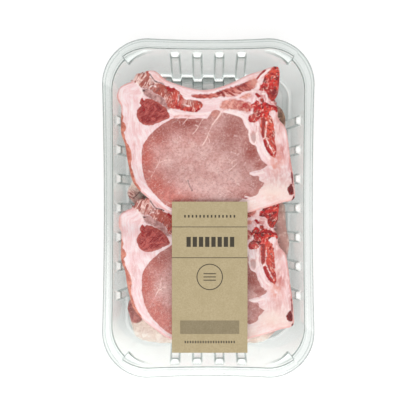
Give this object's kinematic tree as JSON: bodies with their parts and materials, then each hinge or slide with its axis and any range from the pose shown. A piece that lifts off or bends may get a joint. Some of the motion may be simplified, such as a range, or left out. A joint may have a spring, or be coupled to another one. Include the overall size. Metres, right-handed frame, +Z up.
{
  "type": "meat tray pack",
  "caption": "Clear ribbed food tray sealed with clear film, holding shingled bone-in pork chops under a plain paper label.",
  "frame": {"origin": "under the middle of the tray, on the surface it stands on", "axes": "+X across the tray, +Y along it towards the end that the label is far from, +Z up"},
  "size_m": [0.144, 0.23, 0.0458],
  "materials": {
    "clear_tray": "clear, glossy, faint grey-green at its edges",
    "lid_film": "clear stretched film",
    "label_paper": "matt kraft paper",
    "pork_fat": "moist, pale pink",
    "pork_loin": "moist, pink, finely marbled",
    "pork_cap": "moist, dark red",
    "rib_bone": "sawn, moist, reddish brown",
    "chine_bone": "sawn, moist, blood red",
    "pork_shaded": "moist"
  },
  "bodies": {
    "root": {"tray": "clear_tray", "film": "lid_film", "label": "label_paper", "chop_a": "pork_fat", "chop_a_eye": "pork_loin", "chop_a_cap": "pork_cap", "chop_a_rib": "rib_bone", "chop_a_chine": "chine_bone", "chop_b": "pork_fat", "chop_b_eye": "pork_loin", "chop_b_cap": "pork_cap", "chop_b_rib": "rib_bone", "chop_b_chine": "chine_bone", "under_chop_back": "pork_shaded", "under_chop_front": "pork_shaded"}
  },
  "joints": []
}
